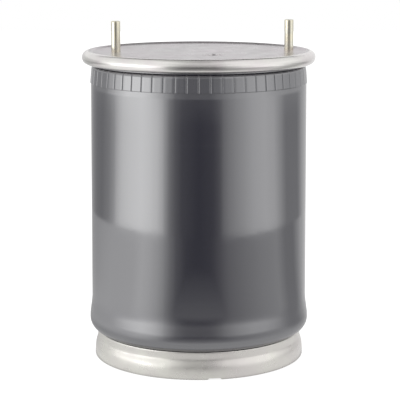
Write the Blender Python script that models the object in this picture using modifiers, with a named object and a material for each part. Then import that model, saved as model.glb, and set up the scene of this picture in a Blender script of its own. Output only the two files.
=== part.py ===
"""Rolling-lobe air bellows actuator: a rubber sleeve crimped to a plate and folded over a steel piston.

Metres, +Z up. The origin is the centre of the base, on the floor. Everything is turned about Z apart from the
two mounting studs, the air port, the base nuts and the drain notches. The upper plate group slides along Z.
"""
import math

import bmesh
import bpy

# General
GAP = 0.0003              # clearance between two pieces that touch
BLOCKS = 60               # moulded blocks round the band under the rim
TURN_STEPS = BLOCKS       # facets round the sleeve and what grips it, one for each block
PISTON_STEPS = 48         # facets round the piston and its base plate
SMALL_STEPS = 24          # facets round fasteners and other small turned pieces
BORE_STEPS = 12           # facets round nut bores and screw holes

# Upper plate, a pressed steel disc whose edge is rolled over the upper bead
FACE_Z = 0.400            # height of the flat face above the floor
PLATE_T = 0.0025          # sheet thickness
RIM_OUT = 0.0112          # how far the rolled rim stands out past the sleeve below the band
RIM_CREST = 0.0020        # rise of the rim's crest above the face
CURL_R = 0.0085           # outside radius of the roll in section
CURL_END = -115.0         # direction in degrees, from the roll's centre, where the rolled edge stops
VALLEY_R = 0.0040         # fillet between the face and the roll

# Mounting studs, M12
STUD_D = 0.0118           # outside diameter of the thread
STUD_OUT = 0.0395         # length above the face
STUD_EDGE = 0.0376        # from the rim in to a stud's axis, which puts the two 227 mm apart
STUD_TURN = 8.0           # degrees that the line of the studs is turned about Z
STUD_MID_X = 0.0055       # middle of that line
STUD_MID_Y = 0.010
STUD_HEAD_D = 0.024       # flange under the plate
STUD_HEAD_T = 0.0040
STUD_CHAMFER = 0.0012

# Air port, a bush brazed into the plate
PORT_X = 0.019
PORT_Y = -0.052
PORT_BORE_D = 0.0204      # core diameter of an M22 x 1.5 thread
PORT_NECK_D = 0.028
PORT_FLANGE_D = 0.036
PORT_FLANGE_T = 0.0030
PORT_BODY_D = 0.030
PORT_DEPTH = 0.013        # reach of the bush below the face
PORT_PROUD = 0.0008       # rise of its rim above the face
PORT_CHAMFER = 0.0010

# Rubber sleeve
WALL_T = 0.0055           # thickness of the ply wall
WALL_TOP_R = 0.1399       # outside radius just below the band
WALL_SPREAD = 0.0014      # how much wider the wall is at its lower end, just above the bulge
BULGE_OUT = 0.0029        # how far the bulge stands out past that
BULGE_H = 0.0500          # height over which the wall swells out to the lobe's widest place
LOBE_W = 0.0344           # width of the lobe, from the piston out to its widest place
LOBE_DROP = 0.0163        # depth of the lobe below its widest place
LOBE_GAP = 0.0010         # least height left between the lobe and the flare below it
BAND_H = 0.0230           # height of the moulded band
BAND_DROP = 0.0010        # room between the rolled rim and the band
BLOCK_DEPTH = 0.0010      # how far a block stands out of the band
BLOCK_SPLIT = 0.0012      # width of the groove between two blocks
WRAP_T = 0.0024           # rubber wrapped round a bead core
CORE_CLEAR = 0.0008       # room between a core and its wrap
SLIT = 12.0               # degrees left open where the wrap's turned-up end meets the wall
UPPER_SLIT_TURN = 172.0   # directions of the two slits from their bead's centre
LOWER_SLIT_TURN = 135.0
NECK_TURN = 15.0          # degrees that the bead stays round past the rolled edge's tip
CORE_SIDES = 5            # facets round the core's section

# Piston, a deep-drawn steel cup that stands open end down on a base plate
PISTON_TOP_Z = 0.195
PISTON_T = 0.0030         # sheet thickness
PISTON_SHOULDER_R = 0.0090
SEAT_STEP = 0.0175        # from the piston's wall in to the neck that the lower bead sits round
SEAT_CORNER = 0.0036
LOWER_BEAD_R = 0.0065     # radius of the lower bead in section
FLARE_R = 0.014           # hollow fillet at the foot of the wall
FLARE_SLOPE = 8.0         # degrees below level of the shelf under the lobe
COLLAR_IN = 0.0040        # how far the collar under the shelf stays inside the skirt
COLLAR_ROUND = 0.0035     # round edge between shelf and collar
COLLAR_TOP = 0.0040       # height of that round's centre above the collar's lower end
SKIRT_IN = 0.0061         # how far the skirt stays inside the lobe's widest place
SKIRT_H = 0.0100          # height of the upright skirt
SKIRT_RISE = 0.0145       # height over which it draws in to the collar

# Base plate, inside the skirt, with its weld nuts
BASE_T = 0.0055
BASE_EDGE = 0.0012        # chamfer on the plate's edge
BASE_HOLE_D = 0.064       # access hole under the centre nut
NOTCH_W = 0.0187          # drain notches in the lower edge
NOTCH_H = 0.0022
NOTCH_IN = 0.0080         # depth of a notch from the edge
NOTCH_TURN = -81.6        # direction of the first notch in degrees
NOTCHES = 2
BASE_NUTS = 4
BASE_PCD = 0.140          # circle that the nuts stand on
BASE_CLEAR_D = 0.0135     # clearance hole for an M12 screw
NUT_AF = 0.019
NUT_H = 0.010
NUT_BORE_D = 0.0106       # core diameter of the M12 thread

# Clamp plate, bump stop and the bolt that holds them
CLAMP_T = 0.0030
CLAMP_END = 15.0          # direction in degrees, from the lower bead's centre, where the plate's lip stops
BOLT_D = 0.0118
BOLT_PLAY = 0.0008        # room all round the bolt in the plates
BOLT_HEAD_AF = 0.018
BOLT_HEAD_H = 0.0075
BOLT_TAIL = 0.0040        # thread past the nut
SEAL_D = 0.028
SEAL_T = 0.0015
INSERT_D = 0.048
INSERT_T = 0.0030
WASHER_D = 0.024
WASHER_T = 0.0025
STOP_H = 0.0580           # height of the bump stop
STOP_FOOT_D = 0.092
STOP_FOOT_H = 0.010
STOP_WAIST_D = 0.074
STOP_TOP_D = 0.070
STOP_ROUND = 0.0080
STOP_WELL_D = 0.028       # well that the bolt's head sits in

# Radii and places that follow from the sizes above, for the upper plate measured from its face
RIM_R = WALL_TOP_R + RIM_OUT
STUD_PITCH = 2 * (RIM_R - STUD_EDGE)
WALL_LOW_R = WALL_TOP_R + WALL_SPREAD
LOBE_R = WALL_LOW_R + BULGE_OUT
LEG_R = LOBE_R - LOBE_W
PISTON_R = LEG_R - GAP
SEAT_R = PISTON_R - SEAT_STEP
SKIRT_R = LOBE_R - SKIRT_IN
COLLAR_R = SKIRT_R - COLLAR_IN
COLLAR_Z = SKIRT_H + SKIRT_RISE
BASE_R = SKIRT_R - PISTON_T - GAP
BOLT_HOLE_D = BOLT_D + 2 * BOLT_PLAY
CURL_X = RIM_R - CURL_R
CURL_Z = RIM_CREST - CURL_R
BEAD_R = CURL_R - PLATE_T - GAP
TIP_X = CURL_X + CURL_R * math.cos(math.radians(CURL_END))
BEAD_HOLE_R = BEAD_R - WRAP_T
BAND_TOP_Z = FACE_Z + CURL_Z - CURL_R - BAND_DROP
BAND_BOTTOM_Z = BAND_TOP_Z - BAND_H
LOWER_BEAD_X = SEAT_R + GAP + LOWER_BEAD_R
LOWER_BEAD_Z = PISTON_TOP_Z - LOWER_BEAD_R
LEDGE_Z = LOWER_BEAD_Z - LOWER_BEAD_R - GAP
LOWER_HOLE_R = LOWER_BEAD_R - WRAP_T
SHOULDER_X = PISTON_R - PISTON_SHOULDER_R
SHOULDER_Z = LEDGE_Z - PISTON_SHOULDER_R
LOBE_HALF = LOBE_W / 2
LOBE_X = LOBE_R - LOBE_HALF
CLAMP_TOP_Z = PISTON_TOP_Z + GAP + CLAMP_T
SEAL_Z = CLAMP_TOP_Z + GAP
INSERT_Z = SEAL_Z + SEAL_T + GAP
HEAD_Z = INSERT_Z + INSERT_T + GAP
WASHER_Z = PISTON_TOP_Z - PISTON_T - GAP - WASHER_T
CENTRE_NUT_Z = WASHER_Z - GAP - NUT_H

# Colours, roughness and metallic value of each finish
FINISHES = {
    "zinc_plate": ((0.62, 0.60, 0.59), 0.32, 1.0),
    "zinc_stud": ((0.66, 0.60, 0.44), 0.28, 1.0),
    "bright_steel": ((0.72, 0.70, 0.66), 0.26, 1.0),
    "rubber": ((0.045, 0.045, 0.055), 0.35, 0.0),
    "buffer_rubber": ((0.030, 0.030, 0.032), 0.60, 0.0),
    "bead_wire": ((0.45, 0.38, 0.24), 0.40, 1.0),
    "dark_steel": ((0.30, 0.30, 0.31), 0.45, 1.0),
    "seal": ((0.020, 0.020, 0.020), 0.55, 0.0),
}


def clear_scene():
    for obj in list(bpy.data.objects):
        bpy.data.objects.remove(obj, do_unlink=True)


def new_collection(name):
    collection = bpy.data.collections.new(name)
    bpy.context.scene.collection.children.link(collection)
    return collection


def finish_material(name):
    material = bpy.data.materials.get(name)
    if material:
        return material
    colour, roughness, metallic = FINISHES[name]
    material = bpy.data.materials.new(name)
    material.use_nodes = True
    shader = material.node_tree.nodes["Principled BSDF"]
    shader.inputs["Base Color"].default_value = (*colour, 1.0)
    shader.inputs["Roughness"].default_value = roughness
    shader.inputs["Metallic"].default_value = metallic
    material.diffuse_color = (*colour, 1.0)
    return material


def polar(x, z, radius, direction, height=None):
    """The point that lies in a direction, in degrees, from a centre. With a height it is on an ellipse."""
    angle = math.radians(direction)
    return x + radius * math.cos(angle), z + (height or radius) * math.sin(angle)


def arc(x, z, radius, start, end, count, height=None):
    """Points on an arc from start to end degrees, with both ends."""
    return [polar(x, z, radius, start + (end - start) * i / count, height) for i in range(count + 1)]


def ease(share):
    """Runs from 0 to 1 along half a cosine wave, level at both ends."""
    return (1 - math.cos(math.pi * share)) / 2


def thicken(path, thickness):
    """A closed section from a path that runs down the outer side, with the metal on the inner side."""
    normals = []
    for (x0, z0), (x1, z1) in zip(path, path[1:]):
        length = math.hypot(x1 - x0, z1 - z0)
        normals.append(((z1 - z0) / length, (x0 - x1) / length))
    back = []
    for i, (x, z) in enumerate(path):
        a = normals[max(i - 1, 0)]
        b = normals[min(i, len(normals) - 1)]
        scale = thickness / (1 + a[0] * b[0] + a[1] * b[1])
        back.append((x + (a[0] + b[0]) * scale, z + (a[1] + b[1]) * scale))
    return path + back[::-1]


def place(obj, collection, parent, finish):
    collection.objects.link(obj)
    obj.parent = parent
    if obj.data and finish:
        obj.data.materials.clear()
        obj.data.materials.append(finish_material(finish))
    return obj


def smooth(mesh):
    mesh.shade_smooth()
    mesh.set_sharp_from_angle(angle=math.radians(35))


def section_mesh(name, section, closed):
    mesh = bpy.data.meshes.new(name)
    edges = [(i, i + 1) for i in range(len(section) - 1)]
    if closed:
        edges.append((len(section) - 1, 0))
    mesh.from_pydata([(x, 0.0, z) for x, z in section], edges, [])
    return mesh


def turned(name, section, steps, collection, parent, finish, closed=True, location=(0, 0, 0)):
    """A solid of revolution about the object's Z axis, kept as a profile with a Screw modifier."""
    obj = bpy.data.objects.new(name, section_mesh(name, section, closed))
    obj.location = location
    screw = obj.modifiers.new("turn", "SCREW")
    screw.angle = math.tau
    screw.steps = screw.render_steps = steps
    screw.use_merge_vertices = True
    screw.merge_threshold = 0.00001
    screw.use_smooth_shade = True
    return place(obj, collection, parent, finish)


def mesh_of(obj):
    """Replaces an object's modifiers by the mesh that they make."""
    bpy.context.view_layer.update()
    graph = bpy.context.evaluated_depsgraph_get()
    mesh = bpy.data.meshes.new_from_object(obj.evaluated_get(graph))
    obj.modifiers.clear()
    obj.data = mesh
    return mesh


def cylinder_cutter(name, radius, low, high, x, y, steps, cutters):
    """A round cutter whose flats, not its corners, lie at the radius."""
    bm = bmesh.new()
    bmesh.ops.create_cone(
        bm, cap_ends=True, segments=steps, radius1=radius / math.cos(math.pi / steps),
        radius2=radius / math.cos(math.pi / steps), depth=high - low,
    )
    mesh = bpy.data.meshes.new(name)
    bm.to_mesh(mesh)
    bm.free()
    obj = bpy.data.objects.new(name, mesh)
    obj.location = (x, y, (low + high) / 2)
    return as_cutter(obj, cutters)


def as_cutter(obj, cutters):
    obj.hide_render = True
    obj.display_type = "WIRE"
    cutters.objects.link(obj)
    return obj


def cut(obj, cutter):
    boolean = obj.modifiers.new(cutter.name, "BOOLEAN")
    boolean.operation = "DIFFERENCE"
    boolean.solver = "EXACT"
    boolean.object = cutter


def hexagon(name, across_flats, low, high, bore, collection, parent, finish, location, cutters):
    """A plain hexagon for a nut or a bolt's head, bored right through where a bore is given."""
    corner = across_flats / math.sqrt(3)
    bm = bmesh.new()
    bmesh.ops.create_cone(bm, cap_ends=True, segments=6, radius1=corner, radius2=corner, depth=high - low)
    mesh = bpy.data.meshes.new(name)
    bm.to_mesh(mesh)
    bm.free()
    obj = bpy.data.objects.new(name, mesh)
    obj.location = (location[0], location[1], location[2] + (low + high) / 2)
    place(obj, collection, parent, finish)
    if bore:
        reach = high - low
        x, y, z = obj.location
        cut(obj, cylinder_cutter(name + "_bore", bore / 2, z - reach, z + reach, x, y, BORE_STEPS, cutters))
    return obj


# Upper plate group, modelled from the plate's face

def valley():
    """Fillet centre and the direction where it meets the roll, both worked out from tangency."""
    rise = VALLEY_R - CURL_Z
    run = math.sqrt((CURL_R + VALLEY_R) ** 2 - rise ** 2)
    return CURL_X - run, 180 - math.degrees(math.atan2(rise, run))


def roll_arc(radius):
    """The roll in section, at any radius about its centre. Plate and bead use the same directions."""
    return arc(CURL_X, CURL_Z, radius, valley()[1], CURL_END, 8)


def stud_places():
    turn = math.radians(STUD_TURN)
    half_x, half_y = math.cos(turn) * STUD_PITCH / 2, math.sin(turn) * STUD_PITCH / 2
    return {
        "left": (STUD_MID_X - half_x, STUD_MID_Y - half_y),
        "right": (STUD_MID_X + half_x, STUD_MID_Y + half_y),
    }


def upper_bead_plate(parts, cutters, top):
    fillet_x, meets = valley()
    fillet = arc(fillet_x, VALLEY_R, VALLEY_R, -90, meets - 180, 2)
    section = thicken([(0.0, 0.0)] + fillet + roll_arc(CURL_R)[1:], PLATE_T)
    plate = turned("upper_bead_plate", section, TURN_STEPS, parts, top, "zinc_plate", closed=False)
    low, high = FACE_Z - 3 * PLATE_T, FACE_Z + PLATE_T
    for side, (x, y) in stud_places().items():
        hole = cylinder_cutter("stud_hole_" + side, STUD_D / 2 + GAP, low, high, x, y, SMALL_STEPS, cutters)
        cut(plate, hole)
    neck = PORT_NECK_D / 2 + GAP
    cut(plate, cylinder_cutter("port_hole", neck, low, high, PORT_X, PORT_Y, SMALL_STEPS, cutters))
    smooth(mesh_of(plate))


def mounting_stud(side, x, y, parts, top):
    radius, seat = STUD_D / 2, -PLATE_T - GAP
    section = [
        (0, STUD_OUT), (radius - STUD_CHAMFER, STUD_OUT), (radius, STUD_OUT - STUD_CHAMFER), (radius, seat),
        (STUD_HEAD_D / 2, seat), (STUD_HEAD_D / 2, seat - STUD_HEAD_T), (0, seat - STUD_HEAD_T),
    ]
    name = "mounting_stud_" + side
    stud = turned(name, section, SMALL_STEPS, parts, top, "zinc_stud", closed=False, location=(x, y, 0))
    smooth(mesh_of(stud))


def air_port_boss(parts, top):
    bore, neck, under = PORT_BORE_D / 2, PORT_NECK_D / 2, -PLATE_T - GAP
    section = [
        (bore + PORT_CHAMFER, PORT_PROUD), (neck, PORT_PROUD), (neck, under), (PORT_FLANGE_D / 2, under),
        (PORT_FLANGE_D / 2, under - PORT_FLANGE_T), (PORT_BODY_D / 2, under - PORT_FLANGE_T),
        (PORT_BODY_D / 2, -PORT_DEPTH), (bore, -PORT_DEPTH), (bore, PORT_PROUD - PORT_CHAMFER),
    ]
    axis = (PORT_X, PORT_Y, 0)
    boss = turned("air_port_boss", section, SMALL_STEPS, parts, top, "zinc_plate", location=axis)
    smooth(mesh_of(boss))


def bead_core(name, x, z, hole_radius, parts, parent):
    ring = arc(x, z, hole_radius - CORE_CLEAR, 90, 90 - 360, CORE_SIDES)[:-1]
    smooth(mesh_of(turned(name, ring, TURN_STEPS, parts, parent, "bead_wire")))


# Rubber sleeve

def collar_edge():
    """Round edge from the shelf down to the upright collar."""
    return arc(COLLAR_R - COLLAR_ROUND, COLLAR_Z + COLLAR_TOP, COLLAR_ROUND, 90 - FLARE_SLOPE, 0, 2)


def skirt_path():
    """The collar widens in a soft step to the skirt, which stands just off the floor."""
    step = [(COLLAR_R + COLLAR_IN * ease(i / 3), COLLAR_Z - SKIRT_RISE * i / 3) for i in range(4)]
    return step + [(SKIRT_R, GAP)]


def flare_height(x):
    """Height of the shelf at a radius."""
    start_x, start_z = collar_edge()[0]
    return start_z + (start_x - x) * math.tan(math.radians(FLARE_SLOPE))


def lobe_z():
    """Height of the lobe's widest place. Its oval clears the shelf by LOBE_GAP where the two are nearest."""
    reach = math.hypot(LOBE_DROP, LOBE_HALF * math.tan(math.radians(FLARE_SLOPE)))
    return flare_height(LOBE_X) + LOBE_GAP + reach


def swell_radius(share):
    """Outside radius part of the way down from the wall's lower end to the lobe's widest place."""
    return WALL_LOW_R + BULGE_OUT * ease(share)


def upper_bead_section():
    """Outer side of the upper bead, from the wrap's open end round to the wall under the rolled edge."""
    z = FACE_Z + CURL_Z
    slit_top = polar(CURL_X, z, BEAD_R, UPPER_SLIT_TURN - SLIT / 2)
    past_tip = polar(CURL_X, z, BEAD_R, CURL_END - NECK_TURN)
    return [slit_top] + [(x, FACE_Z + height) for x, height in roll_arc(BEAD_R)] + [past_tip]


def upper_bead_hole():
    """The hole for the core, from the lower lip of the slit the long way round to its upper lip."""
    z = FACE_Z + CURL_Z
    low, high = UPPER_SLIT_TURN + SLIT / 2, UPPER_SLIT_TURN - SLIT / 2 + 360
    return [polar(CURL_X, z, BEAD_R, low)] + arc(CURL_X, z, BEAD_HOLE_R, low, high, 6)


def lower_bead_section():
    """The lower bead: its outer side, the hole for the core, and the far side down to the leg."""
    x, z = LOWER_BEAD_X, LOWER_BEAD_Z
    low, high = LOWER_SLIT_TURN + SLIT / 2 - 360, LOWER_SLIT_TURN - SLIT / 2
    outside = arc(x, z, LOWER_BEAD_R, -90, low, 3)
    hole = arc(x, z, LOWER_HOLE_R, low, high, 6)
    far_side = arc(x, z, LOWER_BEAD_R, high, 0, 3)
    return outside + hole + far_side


def bellows_section():
    exit_x = TIP_X - 2 * GAP - WALL_T
    outer_x = TIP_X - 2 * GAP - BLOCK_DEPTH / 2
    lobe = lobe_z()
    wall_end = lobe + BULGE_H
    outside = [(outer_x, BAND_TOP_Z), (WALL_TOP_R, BAND_BOTTOM_Z)]
    outside += [(swell_radius(step / 3), wall_end - BULGE_H * step / 3) for step in range(3)]
    outside += arc(LOBE_X, lobe, LOBE_HALF, 0, -180, 6, height=LOBE_DROP)
    outside += arc(SHOULDER_X, SHOULDER_Z, PISTON_SHOULDER_R + GAP, 0, 90, 2)
    inside = arc(SHOULDER_X, SHOULDER_Z, PISTON_SHOULDER_R + GAP + WALL_T, 60, 0, 1)
    inside += arc(LOBE_X, lobe, LOBE_HALF - WALL_T, -180, 0, 4, height=LOBE_DROP - WALL_T)
    inside += [(WALL_LOW_R - WALL_T, wall_end), (exit_x, BAND_TOP_Z)]
    return upper_bead_section() + outside + lower_bead_section() + inside + upper_bead_hole()


def raise_blocks(mesh):
    """Lifts one block out of each facet of the band, with a groove left between neighbours."""
    bm = bmesh.new()
    bm.from_mesh(mesh)
    middle = BAND_TOP_Z - BAND_H / 2
    band = []
    for face in bm.faces:
        centre = face.calc_center_median()
        if abs(centre.z - middle) < BLOCK_SPLIT and math.hypot(centre.x, centre.y) > WALL_TOP_R - WALL_T / 2:
            band.append(face)
    bmesh.ops.inset_individual(
        bm, faces=band, thickness=BLOCK_SPLIT / 2, depth=BLOCK_DEPTH, use_even_offset=True,
    )
    bm.to_mesh(mesh)
    bm.free()


def bellows(parts, piston):
    sleeve = turned("bellows", bellows_section(), BLOCKS, parts, piston, "rubber")
    mesh = mesh_of(sleeve)
    raise_blocks(mesh)
    smooth(mesh)


# Piston group

def piston_path():
    corner = arc(SEAT_R - SEAT_CORNER, PISTON_TOP_Z - SEAT_CORNER, SEAT_CORNER, 90, 0, 2)
    foot = [(SEAT_R, LEDGE_Z)]
    shoulder = arc(SHOULDER_X, SHOULDER_Z, PISTON_SHOULDER_R, 90, 0, 2)
    flare_x = PISTON_R + FLARE_R
    turn = 90 - FLARE_SLOPE
    end_x = flare_x - FLARE_R * math.cos(math.radians(turn))
    flare_z = flare_height(end_x) + FLARE_R * math.sin(math.radians(turn))
    flare = arc(flare_x, flare_z, FLARE_R, 180, 180 + turn, 3)
    return [(BOLT_HOLE_D / 2, PISTON_TOP_Z)] + corner + foot + shoulder + flare + collar_edge() + skirt_path()


def piston_shell(parts, notches, piston):
    section = thicken(piston_path(), PISTON_T)
    shell = turned("piston_shell", section, PISTON_STEPS, parts, piston, "bright_steel")
    for notch in notches:
        cut(shell, notch)
    smooth(mesh_of(shell))


def piston_base_plate(parts, cutters, notches, piston):
    section = [
        (BASE_HOLE_D / 2, BASE_T), (BASE_R - BASE_EDGE, BASE_T), (BASE_R, BASE_T - BASE_EDGE),
        (BASE_R, BASE_EDGE), (BASE_R - BASE_EDGE, 0), (BASE_HOLE_D / 2, 0),
    ]
    plate = turned("piston_base_plate", section, PISTON_STEPS, parts, piston, "bright_steel")
    low, high, radius = -BASE_T, 2 * BASE_T, BASE_CLEAR_D / 2
    for number, (x, y) in enumerate(base_nut_places(), 1):
        cut(plate, cylinder_cutter(f"base_hole_{number}", radius, low, high, x, y, BORE_STEPS, cutters))
    for notch in notches:
        cut(plate, notch)
    smooth(mesh_of(plate))


def drain_notch(number, cutters):
    """Cutter for a notch that runs through the skirt and into the base plate's edge."""
    bm = bmesh.new()
    bmesh.ops.create_cube(bm, size=1)
    reach = 2 * NOTCH_IN
    bmesh.ops.scale(bm, vec=(reach, NOTCH_W, 2 * NOTCH_H), verts=bm.verts)
    bmesh.ops.translate(bm, vec=(SKIRT_R - NOTCH_IN + reach / 2, 0, 0), verts=bm.verts)
    name = f"drain_notch_{number + 1}"
    mesh = bpy.data.meshes.new(name)
    bm.to_mesh(mesh)
    bm.free()
    obj = bpy.data.objects.new(name, mesh)
    obj.rotation_euler.z = math.radians(NOTCH_TURN + 360 * number / NOTCHES)
    return as_cutter(obj, cutters)


def base_nut_places():
    first = math.pi / BASE_NUTS
    angles = [first + math.tau * i / BASE_NUTS for i in range(BASE_NUTS)]
    return [(math.cos(a) * BASE_PCD / 2, math.sin(a) * BASE_PCD / 2) for a in angles]


def base_nuts(parts, cutters, piston):
    low = BASE_T + GAP
    for number, (x, y) in enumerate(base_nut_places(), 1):
        hexagon(
            f"base_nut_{number}", NUT_AF, low, low + NUT_H, NUT_BORE_D, parts, piston, "dark_steel",
            (x, y, 0), cutters,
        )


def bead_clamp_plate(parts, piston):
    lip = arc(LOWER_BEAD_X, LOWER_BEAD_Z, LOWER_BEAD_R + GAP + CLAMP_T, 90, CLAMP_END, 3)
    path = [(BOLT_HOLE_D / 2, CLAMP_TOP_Z)] + lip
    clamp = turned("bead_clamp_plate", thicken(path, CLAMP_T), TURN_STEPS, parts, piston, "dark_steel")
    smooth(mesh_of(clamp))


def flat_ring(name, outer, inner, low, thickness, parts, piston, finish):
    hole, edge, high = inner / 2, outer / 2, low + thickness
    section = [(hole, high), (edge, high), (edge, low), (hole, low)]
    smooth(mesh_of(turned(name, section, SMALL_STEPS, parts, piston, finish)))


def bump_stop(parts, piston):
    low, well = CLAMP_TOP_Z + GAP, STOP_WELL_D / 2
    high, pocket = low + STOP_H, INSERT_D / 2 + 2 * GAP
    pocket_z = INSERT_Z + INSERT_T + GAP
    crown = arc(STOP_TOP_D / 2 - STOP_ROUND, high - STOP_ROUND, STOP_ROUND, 90, 0, 3)
    foot = STOP_FOOT_D / 2
    section = [(well, high)] + crown + [
        (STOP_WAIST_D / 2, low + 2 * STOP_FOOT_H), (foot, low + STOP_FOOT_H), (foot, low),
        (pocket, low), (pocket, pocket_z), (well, pocket_z),
    ]
    smooth(mesh_of(turned("bump_stop", section, SMALL_STEPS, parts, piston, "buffer_rubber")))


def centre_bolt(parts, cutters, piston):
    """Hexagon head joined to its shank."""
    bolt = hexagon(
        "centre_bolt", BOLT_HEAD_AF, HEAD_Z, HEAD_Z + BOLT_HEAD_H, 0, parts, piston, "zinc_stud",
        (0, 0, 0), cutters,
    )
    low, high = CENTRE_NUT_Z - BOLT_TAIL, HEAD_Z + BOLT_HEAD_H / 2
    shank = cylinder_cutter("bolt_shank", BOLT_D / 2, low, high, 0, 0, SMALL_STEPS, cutters)
    join = bolt.modifiers.new("shank", "BOOLEAN")
    join.operation = "UNION"
    join.solver = "EXACT"
    join.object = shank
    smooth(mesh_of(bolt))


def main():
    clear_scene()
    parts = new_collection("air_bellows_actuator")
    cutters = new_collection("cutters")
    piston = place(bpy.data.objects.new("piston_group", None), parts, None, None)
    top = place(bpy.data.objects.new("top_group", None), parts, None, None)
    top.location = (0, 0, FACE_Z)  # on the axis that the upper plate slides along

    upper_bead_plate(parts, cutters, top)
    for side, (x, y) in stud_places().items():
        mounting_stud(side, x, y, parts, top)
    air_port_boss(parts, top)
    bead_core("upper_bead_core", CURL_X, CURL_Z, BEAD_HOLE_R, parts, top)

    bellows(parts, piston)
    bead_core("lower_bead_core", LOWER_BEAD_X, LOWER_BEAD_Z, LOWER_HOLE_R, parts, piston)
    notches = [drain_notch(number, cutters) for number in range(NOTCHES)]
    piston_shell(parts, notches, piston)
    piston_base_plate(parts, cutters, notches, piston)
    base_nuts(parts, cutters, piston)
    bead_clamp_plate(parts, piston)
    bump_stop(parts, piston)
    flat_ring("bolt_seal_ring", SEAL_D, BOLT_HOLE_D, SEAL_Z, SEAL_T, parts, piston, "seal")
    flat_ring("bump_stop_insert", INSERT_D, BOLT_HOLE_D, INSERT_Z, INSERT_T, parts, piston, "dark_steel")
    flat_ring("centre_washer", WASHER_D, BOLT_HOLE_D, WASHER_Z, WASHER_T, parts, piston, "zinc_stud")
    centre_bolt(parts, cutters, piston)
    hexagon(
        "centre_nut", BOLT_HEAD_AF, CENTRE_NUT_Z, CENTRE_NUT_Z + NUT_H, BOLT_D + 4 * GAP, parts, piston,
        "zinc_stud", (0, 0, 0), cutters,
    )


main()
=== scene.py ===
import math

import bmesh
import bpy
from mathutils import Matrix, Vector, noise


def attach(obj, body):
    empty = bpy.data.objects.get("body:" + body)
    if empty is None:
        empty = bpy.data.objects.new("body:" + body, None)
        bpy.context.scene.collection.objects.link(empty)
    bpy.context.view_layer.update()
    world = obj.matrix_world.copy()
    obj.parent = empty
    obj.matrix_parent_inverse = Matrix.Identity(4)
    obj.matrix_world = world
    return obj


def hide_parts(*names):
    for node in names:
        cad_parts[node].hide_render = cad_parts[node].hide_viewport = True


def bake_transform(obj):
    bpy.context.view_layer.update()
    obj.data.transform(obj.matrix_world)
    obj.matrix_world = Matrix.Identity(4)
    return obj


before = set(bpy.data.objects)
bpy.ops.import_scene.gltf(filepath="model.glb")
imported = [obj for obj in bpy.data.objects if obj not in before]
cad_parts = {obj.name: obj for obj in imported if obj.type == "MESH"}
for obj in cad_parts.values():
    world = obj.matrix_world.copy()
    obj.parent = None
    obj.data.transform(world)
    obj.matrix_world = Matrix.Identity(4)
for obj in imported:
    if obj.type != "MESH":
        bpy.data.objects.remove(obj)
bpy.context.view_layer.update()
print("frame loaded:", len(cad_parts), "nodes")

gap = 0.0003          # clearance that the frame keeps between touching pieces
blockCount = 60       # moulded blocks round the band, and the frame's facets
faceZ = 0.4           # flat face of the upper plate
pistonTopZ = 0.195    # flat top of the piston, inside the sleeve


def between(start, end, share):
    return start + (end - start) * share


def smoothStep(share):
    return share * share * (3 - 2 * share)


def polar(x, z, radius, direction, height=None):
    # a point of a circle in section, or of an ellipse where a half height is given
    angle = math.radians(direction)
    return x + radius * math.cos(angle), z + (height or radius) * math.sin(angle)


def arcPoints(x, z, radius, start, end, count, height=None):
    return [polar(x, z, radius, start + (end - start) * i / count, height) for i in range(count + 1)]


def linePoints(start, end, count):
    # points between two places, without either end
    return [
        (start[0] + (end[0] - start[0]) * i / count, start[1] + (end[1] - start[1]) * i / count)
        for i in range(1, count)
    ]


def splinePoints(controls, count):
    # even cubic spline that the control points steer; it starts and ends a little inside them
    points = []
    for group in zip(controls, controls[1:], controls[2:], controls[3:]):
        for i in range(count):
            t = i / count
            weights = (
                (1 - t) ** 3 / 6, (3 * t ** 3 - 6 * t * t + 4) / 6,
                (-3 * t ** 3 + 3 * t * t + 3 * t + 1) / 6, t ** 3 / 6,
            )
            points.append(tuple(sum(w * p[k] for w, p in zip(weights, group)) for k in range(2)))
    return points


def thickened(path, thickness):
    # closed section of a sheet, from the line down its outer side
    normals = []
    for (x0, z0), (x1, z1) in zip(path, path[1:]):
        length = math.hypot(x1 - x0, z1 - z0)
        normals.append(((z1 - z0) / length, (x0 - x1) / length))
    back = []
    for i, (x, z) in enumerate(path):
        a, b = normals[max(i - 1, 0)], normals[min(i, len(normals) - 1)]
        scale = thickness / (1 + a[0] * b[0] + a[1] * b[1])
        back.append((x + (a[0] + b[0]) * scale, z + (a[1] + b[1]) * scale))
    return path + back[::-1]


def skinNoise(angle, z, around, upright):
    # smooth noise that closes on itself round the upright axis
    return noise.noise(Vector((math.cos(angle) * around, math.sin(angle) * around, z * upright)))


def threadWave(z, pitch, angle):
    # 1 to 0 and back over one pitch of a thread
    return abs(((z / pitch - angle / math.tau) % 1.0) * 2 - 1)


def evenAngles(count):
    return [math.tau * i / count for i in range(count)]


def turnedMesh(name, sectionAt, angles, axis=(0.0, 0.0)):
    # one closed skin round an upright axis; sectionAt gives the section at an angle, with the same number of
    # points at each
    verts, faces, rings, poles = [], [], [], {}
    for angle in angles:
        ring = []
        cosine, sine = math.cos(angle), math.sin(angle)
        for i, (radius, z) in enumerate(sectionAt(angle)):
            if radius > 1e-9:
                ring.append(len(verts))
                verts.append((axis[0] + radius * cosine, axis[1] + radius * sine, z))
            else:
                # a point on the axis is one vertex for all angles
                if i not in poles:
                    poles[i] = len(verts)
                    verts.append((axis[0], axis[1], z))
                ring.append(poles[i])
        rings.append(ring)
    count = len(rings[0])
    for a, b in zip(rings, rings[1:] + rings[:1]):
        for i in range(count):
            j = (i + 1) % count
            corners = list(dict.fromkeys((a[i], a[j], b[j], b[i])))
            if len(corners) > 2:
                faces.append(corners)
    mesh = bpy.data.meshes.new(name)
    mesh.from_pydata(verts, [], faces)
    mesh.validate()
    return mesh


def newPiece(name, mesh):
    piece = bpy.data.objects.new(name, mesh)
    bpy.context.scene.collection.objects.link(piece)
    return piece


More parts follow.
